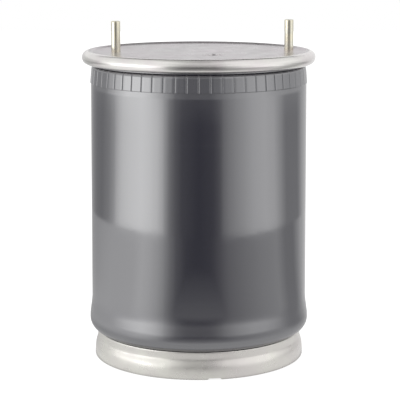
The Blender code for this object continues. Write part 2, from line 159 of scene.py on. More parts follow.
def shadeSmooth(piece, sharpAngle):
    piece.data.shade_smooth()
    piece.data.set_sharp_from_angle(angle=math.radians(sharpAngle))


def cutAway(piece, cutters):
    for cutter in cutters:
        cutting = piece.modifiers.new("cut", "BOOLEAN")
        cutting.operation = "DIFFERENCE"
        cutting.solver = "EXACT"
        cutting.object = cutter
    bpy.context.view_layer.update()
    graph = bpy.context.evaluated_depsgraph_get()
    mesh = bpy.data.meshes.new_from_object(piece.evaluated_get(graph))
    mesh.name = piece.name
    piece.modifiers.clear()
    piece.data = mesh
    for cutter in cutters:
        bpy.data.objects.remove(cutter)


def holeCutter(x, y, low, high, radius, chamfer, steps=96):
    # drill with a small countersink at both faces
    over = 0.002
    section = [
        (0.0, high + over), (radius + chamfer + over, high + over), (radius, high - chamfer),
        (radius, low + chamfer), (radius + chamfer + over, low - over), (0.0, low - over),
    ]
    return newPiece("drill", turnedMesh("drill", lambda angle: section, evenAngles(steps), (x, y)))


def finishPiece(piece, material, body=None, nodes=()):
    piece.data.materials.clear()
    piece.data.materials.append(material)
    if body:
        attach(piece, body)
    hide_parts(*nodes)


def newMaterial(name):
    material = bpy.data.materials.new(name)
    material.use_nodes = True
    return material, material.node_tree, material.node_tree.nodes["Principled BSDF"]


def addNode(tree, kind, settings=None, links=None):
    # a setting is a property of the node if it has one of that name, or else the value of an input
    node = tree.nodes.new(kind)
    for key, value in (settings or {}).items():
        if isinstance(key, str) and hasattr(node, key):
            setattr(node, key, value)
        else:
            node.inputs[key].default_value = value
    for key, source in (links or {}).items():
        tree.links.new(source, node.inputs[key])
    return node


def addNoise(tree, vector, scale, detail=3.0, roughness=0.5):
    settings = {"Scale": scale, "Detail": detail, "Roughness": roughness}
    return addNode(tree, "ShaderNodeTexNoise", settings, {"Vector": vector}).outputs["Fac"]


def addMath(tree, operation, first, second=0.0, clamp=False):
    node = addNode(tree, "ShaderNodeMath", {"operation": operation, "use_clamp": clamp})
    for socket, value in zip(node.inputs, (first, second)):
        if isinstance(value, (int, float)):
            socket.default_value = value
        else:
            tree.links.new(value, socket)
    return node.outputs[0]


def mapRange(tree, value, fromLow, fromHigh, toLow, toHigh):
    settings = {"From Min": fromLow, "From Max": fromHigh, "To Min": toLow, "To Max": toHigh}
    return addNode(tree, "ShaderNodeMapRange", settings, {"Value": value}).outputs["Result"]


def mixColours(tree, factor, first, second):
    node = addNode(tree, "ShaderNodeMix", {"data_type": "RGBA"})
    tree.links.new(factor, node.inputs[0])
    for socket, colour in ((node.inputs[6], first), (node.inputs[7], second)):
        socket.default_value = (*colour, 1.0)
    return node.outputs[2]


def addBump(tree, height, distance, normal=None):
    node = addNode(tree, "ShaderNodeBump", {"Distance": distance, "Strength": 1.0}, {"Height": height})
    if normal:
        tree.links.new(normal, node.inputs["Normal"])
    return node.outputs["Normal"]


def turnedVector(tree, point, across, around):
    # coordinates for marks that run round the upright axis: fine across them, long along them
    split = addNode(tree, "ShaderNodeSeparateXYZ", links={"Vector": point})
    flat = addNode(tree, "ShaderNodeCombineXYZ", links={"X": split.outputs["X"], "Y": split.outputs["Y"]})
    radius = addNode(tree, "ShaderNodeVectorMath", {"operation": "LENGTH"}, {0: flat.outputs[0]})
    radial = addMath(tree, "MULTIPLY", radius.outputs["Value"], across)
    upright = addMath(tree, "MULTIPLY", split.outputs["Z"], across)
    unit = addNode(tree, "ShaderNodeVectorMath", {"operation": "NORMALIZE"}, {0: flat.outputs[0]})
    spread = addNode(
        tree, "ShaderNodeVectorMath", {"operation": "SCALE", "Scale": around}, {0: unit.outputs[0]})
    marks = addNode(tree, "ShaderNodeCombineXYZ", links={"X": radial, "Z": upright})
    both = addNode(
        tree, "ShaderNodeVectorMath", {"operation": "ADD"}, {0: marks.outputs[0], 1: spread.outputs[0]})
    return both.outputs[0]


# colour and tint are mixed in patches; marks run round the upright axis, grain is fine all over
metalLooks = {
    "upperPlateSatin": {
        "colour": (0.54, 0.52, 0.525), "tint": (0.565, 0.515, 0.54), "metal": 1.0, "patch": 22.0,
        "rough": (0.26, 0.36), "across": 900.0, "around": 3.0, "markDepth": 0.000006, "grain": 0.000003,
    },
    "rimBright": {
        "colour": (0.74, 0.73, 0.70), "tint": (0.70, 0.66, 0.66), "metal": 0.82, "patch": 26.0,
        "rough": (0.15, 0.25), "across": 700.0, "around": 3.0, "markDepth": 0.000008, "grain": 0.000002,
    },
    "pistonBright": {
        "colour": (0.735, 0.725, 0.675), "tint": (0.68, 0.65, 0.63), "metal": 0.9, "patch": 20.0,
        "rough": (0.24, 0.36), "across": 420.0, "around": 2.5, "markDepth": 0.000014, "grain": 0.000002,
    },
    "studZinc": {
        "colour": (0.70, 0.655, 0.52), "tint": (0.62, 0.60, 0.52), "metal": 1.0, "patch": 120.0,
        "rough": (0.16, 0.26), "across": 300.0, "around": 2.0, "markDepth": 0.000004, "grain": 0.000003,
    },
    "phosphatedSteel": {
        "colour": (0.17, 0.17, 0.175), "tint": (0.26, 0.25, 0.24), "metal": 1.0, "patch": 90.0,
        "rough": (0.42, 0.58), "across": 600.0, "around": 4.0, "markDepth": 0.00001, "grain": 0.00002,
    },
    "bronzedWire": {
        "colour": (0.45, 0.36, 0.22), "tint": (0.34, 0.28, 0.20), "metal": 1.0, "patch": 60.0,
        "rough": (0.30, 0.45), "across": 900.0, "around": 2.0, "markDepth": 0.00005, "grain": 0.00001,
    },
}
metalGrainScale = 2600.0
metalPatchSpan = (0.38, 0.64)   # range of the noise over which colour turns into tint
noiseSpan = (0.3, 0.7)          # range that most of a noise lies in

# bloom is the pale film on rubber; the lobe rolls on the steel, so below the heights in lobeZ it is rougher
rubberLooks = {
    "sleeveRubber": {
        "colour": (0.026, 0.026, 0.045), "bloom": (0.031, 0.030, 0.050), "patch": 9.0, "ior": 2.77,
        "rough": (0.05, 0.08), "grainScale": 1500.0, "grain": 0.000001, "lumpScale": 45.0, "lump": 0.00003,
        "lobeRough": 0.13, "lobeZ": (0.072, 0.098),
    },
    "bufferRubber": {
        "colour": (0.022, 0.022, 0.023), "bloom": (0.045, 0.044, 0.044), "patch": 40.0, "ior": 1.5,
        "rough": (0.52, 0.66), "grainScale": 1400.0, "grain": 0.00005, "lumpScale": 120.0, "lump": 0.0001,
    },
    "sealRubber": {
        "colour": (0.018, 0.018, 0.018), "bloom": (0.03, 0.03, 0.03), "patch": 80.0, "ior": 1.5,
        "rough": (0.45, 0.55), "grainScale": 2200.0, "grain": 0.00003, "lumpScale": 200.0, "lump": 0.00004,
    },
}
bloomSpan = (0.40, 0.72)        # range of the noise over which colour turns into bloom
bloomStretch = (1.0, 1.0, 0.22)   # makes its patches upright


def metalMaterial(name):
    look = metalLooks[name]
    material, tree, shader = newMaterial(name)
    point = addNode(tree, "ShaderNodeTexCoord").outputs["Object"]
    patches = addNoise(tree, point, look["patch"], detail=4.0, roughness=0.55)
    marks = addNoise(tree, turnedVector(tree, point, look["across"], look["around"]), 1.0, detail=2.0)
    grain = addNoise(tree, point, metalGrainScale, detail=2.0)
    cloud = mapRange(tree, patches, *metalPatchSpan, 0.0, 1.0)
    tree.links.new(mixColours(tree, cloud, look["colour"], look["tint"]), shader.inputs["Base Color"])
    blotch = addNoise(tree, point, look["patch"] * 2.7, detail=5.0, roughness=0.6)
    tree.links.new(mapRange(tree, blotch, *noiseSpan, *look["rough"]), shader.inputs["Roughness"])
    bump = addBump(tree, marks, look["markDepth"])
    tree.links.new(addBump(tree, grain, look["grain"], normal=bump), shader.inputs["Normal"])
    shader.inputs["Metallic"].default_value = look["metal"]
    return material


def rubberMaterial(name):
    look = rubberLooks[name]
    material, tree, shader = newMaterial(name)
    point = addNode(tree, "ShaderNodeTexCoord").outputs["Object"]
    streaks = addNode(tree, "ShaderNodeMapping", {"Scale": bloomStretch}, {"Vector": point})
    cloud = addNoise(tree, streaks.outputs[0], look["patch"], detail=5.0, roughness=0.6)
    cover = mapRange(tree, cloud, *bloomSpan, 0.0, 1.0)
    tree.links.new(mixColours(tree, cover, look["colour"], look["bloom"]), shader.inputs["Base Color"])
    polish = addNoise(tree, point, look["patch"] * 4.0, detail=4.0, roughness=0.6)
    rough = mapRange(tree, polish, *noiseSpan, *look["rough"])
    if "lobeRough" in look:
        height = addNode(tree, "ShaderNodeSeparateXYZ", links={"Vector": point}).outputs["Z"]
        rough = addMath(tree, "ADD", rough, mapRange(tree, height, *look["lobeZ"], look["lobeRough"], 0.0))
    tree.links.new(rough, shader.inputs["Roughness"])
    lumps = addBump(tree, addNoise(tree, point, look["lumpScale"], detail=2.0), look["lump"])
    grain = addNoise(tree, point, look["grainScale"], detail=3.0)
    tree.links.new(addBump(tree, grain, look["grain"], normal=lumps), shader.inputs["Normal"])
    shader.inputs["IOR"].default_value = look["ior"]
    return material


finishes = {name: metalMaterial(name) for name in metalLooks}
finishes.update({name: rubberMaterial(name) for name in rubberLooks})
print("materials made:", len(finishes))


plate = {
    "sheet": 0.0025,
    "rollX": 0.1426,            # centre of the rolled rim in section
    "rollZ": 0.3935,
    "rollRadius": 0.0085,
    "rollEnd": -115.0,          # direction where the rolled edge stops
    "valleyX": 0.1358,          # fillet between face and roll
    "valleyRadius": 0.004,
    "valleyMeets": 122.9,       # direction where fillet and roll touch
    "faceRings": (0.0, 0.03, 0.06, 0.09, 0.11, 0.125, 0.132, 0.1350),   # radii of the rows across the face
    "steps": 360,
    "dent": 0.00012,            # unevenness that pressing leaves on the roll
    "studChamfer": 0.0001,
    "portChamfer": 0.0003,
    "brightOutside": 0.0003,    # how far past the roll's crest the bright finish starts
    "brightBelow": 0.0004,      # how far below the sheet it starts
}


def makeUpperPlate():
    p = plate
    under = faceZ - p["sheet"]
    face = [(radius, faceZ) for radius in p["faceRings"]]
    filletZ = faceZ + p["valleyRadius"]
    fillet = arcPoints(p["valleyX"], filletZ, p["valleyRadius"], -90, p["valleyMeets"] - 180, 10)
    roll = arcPoints(p["rollX"], p["rollZ"], p["rollRadius"], p["valleyMeets"], p["rollEnd"], 56)
    section = thickened(face + [(p["valleyX"], faceZ)] + fillet[1:] + roll[1:], p["sheet"])
    first, last = len(face), len(section) - len(face)

    def sectionAt(angle):
        moved = []
        for i, (radius, z) in enumerate(section):
            if first < i < last:
                wave = skinNoise(angle, z, 4, 30) * 0.6 + skinNoise(angle, z, 16, 120) * 0.4
                radius += wave * p["dent"] - p["dent"]
            moved.append((radius, z))
        return moved

    piece = newPiece("upperPlate", turnedMesh("upperPlate", sectionAt, evenAngles(p["steps"])))
    cutters = [
        holeCutter(*studs[side], under, faceZ, studs["radius"] + gap, p["studChamfer"])
        for side in ("left", "right")
    ]
    cutters.append(holeCutter(*port["place"], under, faceZ, port["neck"] + gap, p["portChamfer"]))
    cutAway(piece, cutters)
    shadeSmooth(piece, 35)
    finishPiece(piece, finishes["upperPlateSatin"], "top", ["upper_bead_plate"])
    piece.data.materials.append(finishes["rimBright"])
    for polygon in piece.data.polygons:
        centre = polygon.center
        outside = math.hypot(centre.x, centre.y) > p["rollX"] + p["brightOutside"]
        if outside or centre.z < under - p["brightBelow"]:
            polygon.material_index = 1


studs = {
    "left": (-0.1069, -0.0058),
    "right": (0.1179, 0.0258),
    "radius": 0.0059,
    "out": 0.0395,              # length above the face
    "chamfer": 0.0012,
    "headRadius": 0.012,
    "headThickness": 0.004,
    "headTopEdge": 0.0005,
    "headLowEdge": 0.0008,
    "shankRows": (0.0355, 0.02, 0.002),   # heights above the face
}


def makeStud(side):
    s = studs
    seat = faceZ - plate["sheet"] - gap
    top, low = faceZ + s["out"], seat - s["headThickness"]
    tip = arcPoints(s["radius"] - s["chamfer"], top - s["chamfer"], s["chamfer"], 90, 0, 8)
    section = [(0.0, top), (s["radius"] * 0.5, top)] + tip
    section += [(s["radius"], faceZ + height) for height in s["shankRows"]] + [(s["radius"], seat)]
    edge = s["headTopEdge"]
    section += arcPoints(s["headRadius"] - edge, seat - edge, edge, 90, 0, 3)
    edge = s["headLowEdge"]
    section += arcPoints(s["headRadius"] - edge, low + edge, edge, 0, -90, 4)
    section.append((0.0, low))
    name = "stud" + side.capitalize()
    piece = newPiece(name, turnedMesh(name, lambda angle: section, evenAngles(96), s[side]))
    shadeSmooth(piece, 40)
    finishPiece(piece, finishes["studZinc"], "top", ["mounting_stud_" + side])


port = {
    "place": (0.019, -0.052),
    "bore": 0.0102,
    "neck": 0.014,
    "neckEdge": 0.0004,
    "flange": 0.018,
    "flangeThickness": 0.003,
    "body": 0.015,
    "bodyEdge": 0.0005,
    "depth": 0.013,
    "proud": 0.0003,            # how far its rim stands above the plate
    "topChamfer": 0.0011,
    "lowChamfer": 0.001,
    "pitch": 0.0015,
    "threadDepth": 0.0007,
    "threadTop": 0.0012,        # height over which the thread runs out at the top, and at the bottom
    "threadLow": 0.0008,
    "rows": 72,
}


def makePort():
    b = port
    under = faceZ - plate["sheet"] - gap
    high, low = faceZ + b["proud"], faceZ - b["depth"]
    edge = b["neckEdge"]
    outside = [(b["bore"] + b["topChamfer"], high)] + arcPoints(b["neck"] - edge, high - edge, edge, 90, 0, 4)
    outside += [(b["neck"], under), (b["flange"], under), (b["flange"], under - b["flangeThickness"])]
    outside += [(b["body"], under - b["flangeThickness"]), (b["body"], low + b["bodyEdge"])]
    outside += [(b["body"] - b["bodyEdge"], low), (b["bore"] + b["lowChamfer"], low)]

    def sectionAt(angle):
        inside = []
        for i in range(1, b["rows"]):
            z = low + (high - low) * i / b["rows"]
            runOut = min(1.0, (high - z) / b["threadTop"], (z - low) / b["threadLow"])
            chamfer = max(0.0, b["topChamfer"] - (high - z)) + max(0.0, b["lowChamfer"] - (z - low))
            wave = threadWave(z, b["pitch"], angle) * b["threadDepth"] * runOut
            inside.append((b["bore"] + wave + chamfer, z))
        return outside + inside

    piece = newPiece("airPortBush", turnedMesh("airPortBush", sectionAt, evenAngles(96), b["place"]))
    shadeSmooth(piece, 40)
    finishPiece(piece, finishes["upperPlateSatin"], "top", ["air_port_boss"])


makeUpperPlate()
makeStud("left")
makeStud("right")
makePort()
print("upper plate, studs and air port made")


sleeve = {
    "wall": 0.0055,
    "beadRadius": 0.0057,       # wrap round the upper bead core, inside the rolled rim
    "beadHole": 0.0033,
    "beadEnd": -128,            # direction where the wrap meets the neck
    "slit": (166, 178),         # directions of the slit in the wrap
    # groove under the rolled rim
    "neck": [(0.1374, 0.3866), (0.1367, 0.3848), (0.1366, 0.3834), (0.1370, 0.3828)],
    "bandTopZ": 0.384,
    "bandTopRadius": 0.1379,
    "bandBottomZ": 0.361,
    "bandRows": 24,
    "bandThin": 0.0005,         # how much thinner the wall is behind the band's top
    "topRadius": 0.1399,        # just below the band
    "wallDrop": 0.003,          # from the band to the first row of the plain wall
    "wallRows": 46,
    "lowRadius": 0.1413,        # where the bulge starts
    "bulgeTopZ": 0.1,
    "bulgeRows": 50,
    "bulgeSlope": (0.083, 0.069, 0.0585, 0.051),   # heights where its slope starts, is full, eases and ends
    "lobeRadius": 0.1442,       # widest place
    "lobeZ": 0.05,
    "lobeHalf": 0.0172,         # half its width
    "lobeDrop": 0.0159,         # its depth below lobeZ
    "legRadius": 0.1098,        # skin that lies on the piston
    "legRowZ": 0.062,           # a row between the lobe and the split
    "legSplitZ": 0.075,         # where the skin that stretches meets the leg on the piston
    "legGap": 0.0001,           # height left open between the two
    "mouldLineZ": 0.295,
    "mouldLineHeight": 0.00002,
    "mouldLine": ((0.0012, 0.0), (0.0005, 0.7), (0.0, 1.0), (-0.0005, 0.7), (-0.0012, 0.0)),
    "mouldLineClear": 0.0022,   # rows of the wall nearer than this make room for the line's own
    "unevenness": 0.00010,      # how far the wall wanders from round
    "sharpAngle": 66,
}

blocks = {
    "proud": 0.00095,
    "flatness": 0.8,            # 1 makes the face of a block flat, 0 round
    "topZ": 0.3825,
    "topHeight": 0.0034,        # part of the blocks that is rounded off at the top
    "topDepth": 0.0009,
    "topFade": 0.6,             # share of the blocks' height that is lost there
    "lowZ": 0.3614,
    # round lower edge: drop below lowZ, step inwards, and how much of the blocks' height is left
    "lowEdge": [
        (0.0002, 0.0, 0.97), (0.00055, 0.0, 0.80), (0.0008, 0.0, 0.50), (0.0010, 0.0002, 0.0),
        (0.0016, 0.0002, 0.0),
    ],
    # degrees from a groove's middle, and how much of the blocks' height the skin has there
    "profile": [
        (0.0, 0.0), (0.13, 0.05), (0.24, 0.60), (0.36, 0.93), (0.52, 1.0), (1.8, 1.0), (3.0, 1.0), (4.2, 1.0),
        (5.48, 1.0), (5.64, 0.93), (5.76, 0.60), (5.87, 0.05),
    ],
}


def plainPoints(points):
    # section points that take no share of the blocks or of the wall's unevenness
    return [(point, 0.0, 0.0) for point in points]


def sleeveSection():
    # points down the outer side and up the inner one, each with the share that it takes of the blocks' height
    # and of the wall's unevenness
    s = sleeve
    beadX, beadZ = plate["rollX"], plate["rollZ"]
    slitLow, slitHigh = s["slit"]
    points = plainPoints(arcPoints(beadX, beadZ, s["beadRadius"], slitLow, s["beadEnd"], 40) + s["neck"])
    for i in range(s["bandRows"] + 1):
        z = blocks["topZ"] + (blocks["lowZ"] - blocks["topZ"]) * i / s["bandRows"]
        share = (s["bandTopZ"] - z) / (s["bandTopZ"] - s["bandBottomZ"])
        fade = max(0.0, 1 - (blocks["topZ"] - z) / blocks["topHeight"])
        radius = between(s["bandTopRadius"], s["topRadius"], share) - blocks["topDepth"] * fade ** 2
        points.append(((radius, z), 1 - blocks["topFade"] * fade, 0.0))
    for drop, inset, height in blocks["lowEdge"]:
        points.append(((s["topRadius"] - inset, blocks["lowZ"] - drop), height, 0.0))

    wallTop = s["bandBottomZ"] - s["wallDrop"]
    for i in range(s["wallRows"] + 1):
        share = i / s["wallRows"]
        place = between(s["topRadius"], s["lowRadius"], share), between(wallTop, s["bulgeTopZ"], share)
        points.append((place, 0.0, min(1.0, i / 6)))
    line = []
    for offset, height in s["mouldLine"]:
        z = s["mouldLineZ"] + offset
        radius = between(s["topRadius"], s["lowRadius"], (wallTop - z) / (wallTop - s["bulgeTopZ"]))
        line.append(((radius + height * s["mouldLineHeight"], z), 0.0, 1.0))
    points = [p for p in points if abs(p[0][1] - s["mouldLineZ"]) > s["mouldLineClear"]]
    at = next(i for i, p in enumerate(points) if p[0][1] < s["mouldLineZ"])
    points[at:at] = line

    # the bulge swells with its slope, and reaches the lobe's radius where the slope ends
    start, full, eases, end = s["bulgeSlope"]
    area = (start - full) / 2 + (full - eases) + (eases - end) / 2
    swell, step = 0.0, (s["bulgeTopZ"] - s["lobeZ"]) / s["bulgeRows"]
    for i in range(1, s["bulgeRows"]):
        z = s["bulgeTopZ"] - step * i
        middle = z + step / 2
        slope = max(0.0, min(1.0, (start - middle) / (start - full), (middle - end) / (eases - end)))
        swell += slope * step / area
        points.append(((between(s["lowRadius"], s["lobeRadius"], swell), z), 0.0, 1.0))
    lobeX = s["lobeRadius"] - s["lobeHalf"]
    for i, p in enumerate(arcPoints(lobeX, s["lobeZ"], s["lobeHalf"], 0, -180, 44, s["lobeDrop"])):
        points.append((p, 0.0, max(0.0, 1 - i / 20)))

    legInner = s["legRadius"] + s["wall"]
    inner = [(s["legRadius"], s["legRowZ"]), (s["legRadius"], s["legSplitZ"]), (legInner, s["legSplitZ"])]
    inner += arcPoints(lobeX, s["lobeZ"], s["lobeHalf"] - s["wall"], -180, 0, 32, s["lobeDrop"] - s["wall"])
    low = (s["lowRadius"] - s["wall"], s["bulgeTopZ"])
    high = (s["bandTopRadius"] - s["wall"] + s["bandThin"], s["bandTopZ"])
    inner += linePoints(inner[-1], low, 8) + [low] + linePoints(low, high, 40) + [high]
    inner.append(polar(beadX, beadZ, s["beadRadius"], slitHigh))
    inner += arcPoints(beadX, beadZ, s["beadHole"], slitHigh, slitLow + 360, 30)
    return points + plainPoints(inner)


def makeSleeve():
    s = sleeve
    points = sleeveSection()
    pitch = 360 / blockCount
    angles = [math.radians(pitch * k + step) for k in range(blockCount) for step, _ in blocks["profile"]]
    heights = {round(step, 2): height for step, height in blocks["profile"]}
    half = math.radians(pitch / 2)

    def sectionAt(angle):
        turn = angle % (2 * half)
        blockHeight = heights.get(round(math.degrees(turn), 2), 0.0)
        facet = math.cos(half) / math.cos(turn - half)   # radius of a flat face, as a share of the round one
        section = []
        for (radius, z), blockShare, waveShare in points:
            if blockShare:
                flat = radius * (1 - facet) * blocks["flatness"]
                radius += blockShare * (blocks["proud"] * blockHeight - flat)
            if waveShare:
                radius += skinNoise(angle, z, 1.6, 9) * waveShare * s["unevenness"]
            section.append((radius, z))
        return section

    piece = newPiece("sleeveWall", turnedMesh("sleeveWall", sectionAt, angles))
    shadeSmooth(piece, s["sharpAngle"])
    finishPiece(piece, finishes["sleeveRubber"], None, ["bellows"])
    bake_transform(piece)


lowerBead = {
    "x": 0.0988,
    "z": 0.1885,
    "radius": 0.0065,
    "hole": 0.0041,
    "slit": (129, -219),        # directions of the slit in the wrap
    "shoulderX": 0.1005,        # the piston's shoulder, which the leg lies on
    "shoulderZ": 0.1727,
    "shoulderRadius": 0.009,
}


def makeSleeveLeg():
    b, s = lowerBead, sleeve
    outer = b["shoulderRadius"] + gap
    slitHigh, slitLow = b["slit"]
    lowZ = s["legSplitZ"] + s["legGap"]
    end = (s["legRadius"] + s["wall"], lowZ)
    section = [(s["legRadius"], lowZ)]
    section += linePoints((s["legRadius"], s["legSplitZ"]), (s["legRadius"], b["shoulderZ"]), 12)
    section += arcPoints(b["shoulderX"], b["shoulderZ"], outer, 0, 90, 16)
    section += arcPoints(b["x"], b["z"], b["radius"], -90, slitLow, 20)
    section += arcPoints(b["x"], b["z"], b["hole"], slitLow, slitHigh, 30)
    section += arcPoints(b["x"], b["z"], b["radius"], slitHigh, 0, 18)
    section += arcPoints(b["shoulderX"], b["shoulderZ"], outer + s["wall"], 60, 0, 12)
    section += linePoints(section[-1], end, 12) + [end]
    piece = newPiece("sleeveLeg", turnedMesh("sleeveLeg", lambda angle: section, evenAngles(240)))
    shadeSmooth(piece, s["sharpAngle"])
    finishPiece(piece, finishes["sleeveRubber"], "piston", ["bellows"])


makeSleeve()
makeSleeveLeg()
print("sleeve made")


piston = {
    "sheet": 0.003,
    "radius": 0.1095,
    "hole": 0.0067,
    "topRings": (0.03, 0.06, 0.082),   # radii of the rows across the flat top
    "seat": 0.092,
    "seatCorner": 0.0036,
    "ledgeZ": 0.1817,           # where the lower bead sits
    "ledgeInset": 0.0015,
    "wallRings": (0.15, 0.12, 0.09, 0.065, 0.052),   # heights of the rows down the wall
    "flareRadius": 0.014,
    "flareX": 0.1235,
    "flareZ": 0.04714,
    "flareEnd": 262,            # direction where the flare meets the foot
    # points that steer the foot's outline: shelf under the lobe, raised corner, soft step, upright skirt
    "foot": [
        (0.1257, 0.0331), (0.1285, 0.0334), (0.1308, 0.0340), (0.1325, 0.0346), (0.1337, 0.0350),
        (0.1343, 0.0344), (0.1344, 0.0328), (0.1343, 0.0300), (0.1343, 0.0268), (0.13445, 0.0245),
        (0.1351, 0.0222), (0.13615, 0.0193), (0.1370, 0.0160), (0.1375, 0.0120),
        (0.1378, 0.0080), (0.1380, 0.0040), (0.1380, 0.0016),
    ],
    "skirtRadius": 0.1380,
    "skirtEdge": 0.0009,        # round lower edge
    "steps": 288,
    "unevenness": 0.00012,
    "unevenTop": 0.03,          # height where the unevenness of the skirt ends, and over which it fades
    "unevenFade": 0.01,
}

basePlate = {
    "thickness": 0.0055,
    "radius": 0.1348,
    "edge": 0.0012,
    "rings": (0.06, 0.1, 0.13),  # radii of the rows across both faces
    "hole": 0.032,
    "holeChamfer": 0.0006,
    "screwHole": 0.00675,
    "screwChamfer": 0.0004,
    "screwCircle": 0.07,
    "notchWidth": 0.0187,
    "notchHeight": 0.0022,
    "notchRound": 0.0015,
    "notchStart": 0.1301,       # radius where the notches end inside
    "notchReach": 0.016,
    "notchTurn": -81.6,
}


def notchCutters():
    # two drain notches in the lower edge, through the skirt and into the plate
    b = basePlate
    cutters = []
    for number in range(2):
        bm = bmesh.new()
        bmesh.ops.create_cube(bm, size=1)
        reach = b["notchReach"]
        bmesh.ops.scale(bm, vec=(reach, b["notchWidth"], 2 * b["notchHeight"]), verts=bm.verts)
        bmesh.ops.translate(bm, vec=(b["notchStart"] + reach / 2, 0, 0), verts=bm.verts)
        topEdges = []
        for edge in bm.edges:
            start, end = (vert.co for vert in edge.verts)
            if abs(start.x - end.x) > reach / 2 and start.z > 0:
                topEdges.append(edge)
        bmesh.ops.bevel(bm, geom=topEdges, offset=b["notchRound"], segments=5, affect="EDGES")
        turn = Matrix.Rotation(math.radians(b["notchTurn"] + 180 * number), 4, "Z")
        bmesh.ops.transform(bm, matrix=turn, verts=bm.verts)
        mesh = bpy.data.meshes.new("notch")
        bm.to_mesh(mesh)
        bm.free()
        cutters.append(newPiece("notch", mesh))
    return cutters


def makePistonShell():
    p, b = piston, lowerBead
    path = [(radius, pistonTopZ) for radius in (p["hole"], *p["topRings"])]
    corner = p["seatCorner"]
    path += arcPoints(p["seat"] - corner, pistonTopZ - corner, corner, 90, 0, 10)
    path += [(p["seat"], p["ledgeZ"]), (b["shoulderX"] - p["ledgeInset"], p["ledgeZ"])]
    path += arcPoints(b["shoulderX"], b["shoulderZ"], b["shoulderRadius"], 90, 0, 14)
    path += [(p["radius"], z) for z in p["wallRings"]]
    path += arcPoints(p["flareX"], p["flareZ"], p["flareRadius"], 180, p["flareEnd"], 22)
    foot = splinePoints(p["foot"], 5)
    path += linePoints(path[-1], foot[0], 5) + foot
    edge = p["skirtEdge"]
    path += arcPoints(p["skirtRadius"] - edge, gap + edge, edge, 0, -60, 5)
    section = [(radius, max(z, gap)) for radius, z in thickened(path, p["sheet"])]

    def sectionAt(angle):
        moved = []
        for radius, z in section:
            if z < p["unevenTop"]:
                wave = 0.5 + 0.5 * skinNoise(angle, z, 3, 40)
                radius -= wave * p["unevenness"] * min(1.0, (p["unevenTop"] - z) / p["unevenFade"])
            moved.append((radius, z))
        return moved

    piece = newPiece("pistonShell", turnedMesh("pistonShell", sectionAt, evenAngles(p["steps"])))
    cutAway(piece, notchCutters())
    shadeSmooth(piece, 40)
    finishPiece(piece, finishes["pistonBright"], "piston", ["piston_shell"])


def nutPlaces():
    c = basePlate["screwCircle"] * math.sqrt(0.5)
    return [(c, c), (-c, c), (-c, -c), (c, -c)]


def makeBasePlate():
    b = basePlate
    high, edge, chamfer = b["thickness"], b["edge"], b["holeChamfer"]
    section = [(radius, high) for radius in (b["hole"] + chamfer, *b["rings"], b["radius"] - edge)]
    section += arcPoints(b["radius"] - edge, high - edge, edge, 75, 0, 5)
    section += arcPoints(b["radius"] - edge, edge, edge, 0, -90, 6)
    section += [(radius, 0.0) for radius in (*b["rings"][::-1], b["hole"] + chamfer)]
    section += [(b["hole"], chamfer), (b["hole"], high - chamfer)]
    piece = newPiece("basePlate", turnedMesh("basePlate", lambda angle: section, evenAngles(288)))
    cutters = [holeCutter(x, y, 0.0, high, b["screwHole"], b["screwChamfer"], 64) for x, y in nutPlaces()]
    cutAway(piece, cutters + notchCutters())
    shadeSmooth(piece, 35)
    finishPiece(piece, finishes["pistonBright"], "piston", ["piston_base_plate"])


nuts = {
    "baseNut": {
        "flats": 0.019, "height": 0.010, "bore": 0.0053, "pitch": 0.00175, "thread": 0.0006, "rows": 56,
    },
    "centreNut": {
        "flats": 0.018, "height": 0.010, "bore": 0.0065, "pitch": 0.00175, "thread": 0.0, "rows": 4,
    },
    "faceShare": 0.97,          # radius of the round face, as a share of the hexagon's inner radius
    "boreChamfer": 0.0008,
}

# thicknesses of what the centre bolt clamps besides the piston
stack = {
    "clampPlate": 0.003,
    "seal": 0.0015,
    "insert": 0.003,
    "washer": 0.0025,
}

clampTopZ = pistonTopZ + gap + stack["clampPlate"]
sealZ = clampTopZ + gap
insertZ = sealZ + stack["seal"] + gap
headZ = insertZ + stack["insert"] + gap
washerZ = pistonTopZ - piston["sheet"] - gap - stack["washer"]
centreNutZ = washerZ - gap - nuts["centreNut"]["height"]


def hexRadius(flats, angle):
    return flats / 2 / math.cos((angle % (math.pi / 3)) - math.pi / 6)


def cornerDrop(corner, face):
    # how far the turned corner of a hexagon lies below its face
    return (corner - face) * math.tan(math.radians(30))


def makeNut(name, look, low, place, material, node):
    # hexagon with turned corners on both faces and a threaded bore
    high, face = low + look["height"], look["flats"] / 2 * nuts["faceShare"]
    chamfer = nuts["boreChamfer"]

    def sectionAt(angle):
        corner = hexRadius(look["flats"], angle)
        drop = cornerDrop(corner, face)
        section = [(face, high), (corner, high - drop), (corner, low + drop), (face, low)]
        for i in range(look["rows"] + 1):
            z = low + (high - low) * i / look["rows"]
            near = min(high - z, z - low)
            wave = threadWave(z, look["pitch"], angle) * look["thread"] * min(1.0, near / chamfer)
            section.append((look["bore"] + wave + max(0.0, chamfer - near), z))
        return section

    piece = newPiece(name, turnedMesh(name, sectionAt, evenAngles(96), place))
    shadeSmooth(piece, 32)
    finishPiece(piece, finishes[material], "piston", [node])


bolt = {
    "flats": 0.018,
    "faceShare": 0.95,
    "headHeight": 0.0075,
    "headStep": 0.0006,         # round step under the head
    "headEdge": 0.0001,
    "faceInset": 0.001,
    "radius": 0.0059,
    "pitch": 0.00175,
    "thread": 0.0009,
    "threadStart": 0.006,       # height above the washer where the thread starts
    "threadRunOut": 0.002,
    "tip": 0.001,
    "out": 0.004,               # length below the nut
    "rows": 110,
}


